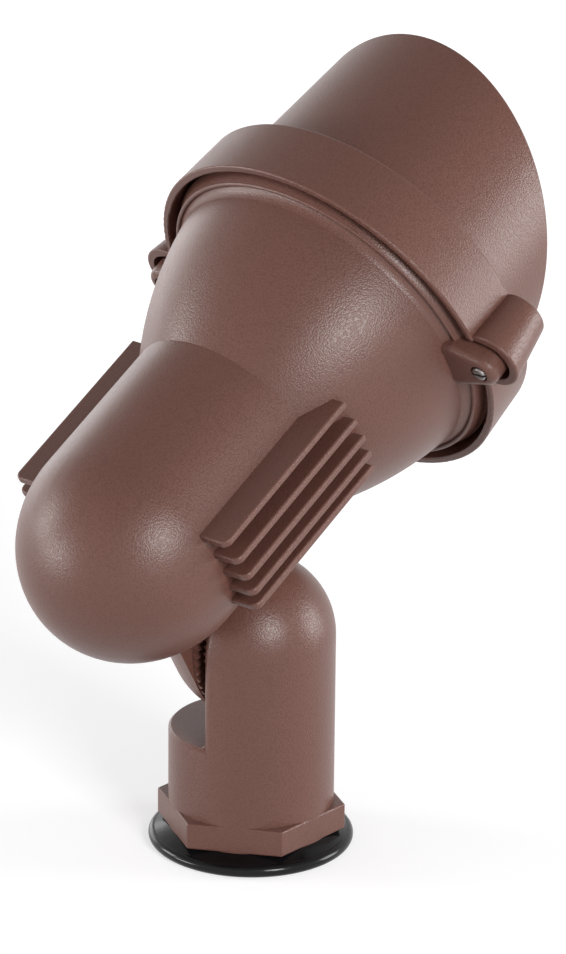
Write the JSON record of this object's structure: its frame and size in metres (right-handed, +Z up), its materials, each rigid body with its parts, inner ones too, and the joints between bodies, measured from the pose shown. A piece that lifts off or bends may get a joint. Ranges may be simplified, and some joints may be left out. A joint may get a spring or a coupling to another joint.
{
  "type": "outdoor spotlight",
  "caption": "Bullet-shaped outdoor spotlight with a finned housing, slanted hood and toothed tilting knuckle on a threaded stem.",
  "frame": {"origin": "middle of the mounting gasket's underside, on the stem's axis, where the light meets the surface that carries it", "axes": "+Z up out of the mounting surface, +X the way the lamp aims, +Y along the knuckle's turning axis towards the bolt's head"},
  "size_m": [0.104, 0.0906, 0.1656],
  "materials": {
    "bronze_coat": "fine textured powder coat over a die casting",
    "black_rubber": "smooth, slightly glossy",
    "lens_rubber": "soft silicone",
    "steel": "stainless, satin",
    "brass_shell": "bright",
    "porcelain": "glazed white",
    "clear_glass": "clear, tempered",
    "lamp_glass": "silvered inside",
    "black_glass": "glossy insulator"
  },
  "bodies": {
    "base": {"knuckle_base": "bronze_coat", "mounting_gasket": "black_rubber", "pivot_bolt": "steel", "pivot_flat_washer": "steel", "pivot_lock_washer": "steel"},
    "head": {"housing": "bronze_coat", "socket_body": "porcelain", "socket_shell": "brass_shell", "socket_contact": "brass_shell", "socket_screw_left": "steel", "socket_screw_right": "steel", "hood_screw_left": "steel", "hood_screw_right": "steel", "screw_retainer_left": "steel", "screw_retainer_right": "steel"},
    "lamp": {"lamp_reflector": "lamp_glass", "lamp_face": "clear_glass", "lamp_base_shell": "brass_shell", "lamp_base_collar": "black_glass", "lamp_contact": "brass_shell"},
    "hood": {"hood": "bronze_coat", "lens": "clear_glass", "lens_gasket": "lens_rubber"}
  },
  "joints": [
    {"name": "head_tilt", "type": "hinge", "parent": "base", "child": "head", "pos_m": [0, 0, 0.0422], "axis": [0, 1, 0], "range_deg": [-60, 70]},
    {"name": "hood_lift_off", "type": "slide", "parent": "head", "child": "hood", "axis": [0.866, 0, 0.5], "range_m": [0, 0.06]},
    {"name": "lamp_turn", "type": "hinge", "parent": "head", "child": "lamp", "pos_m": [-0.02, 0, 0.07684], "axis": [0.866, 0, 0.5], "continuous": true}
  ]
}
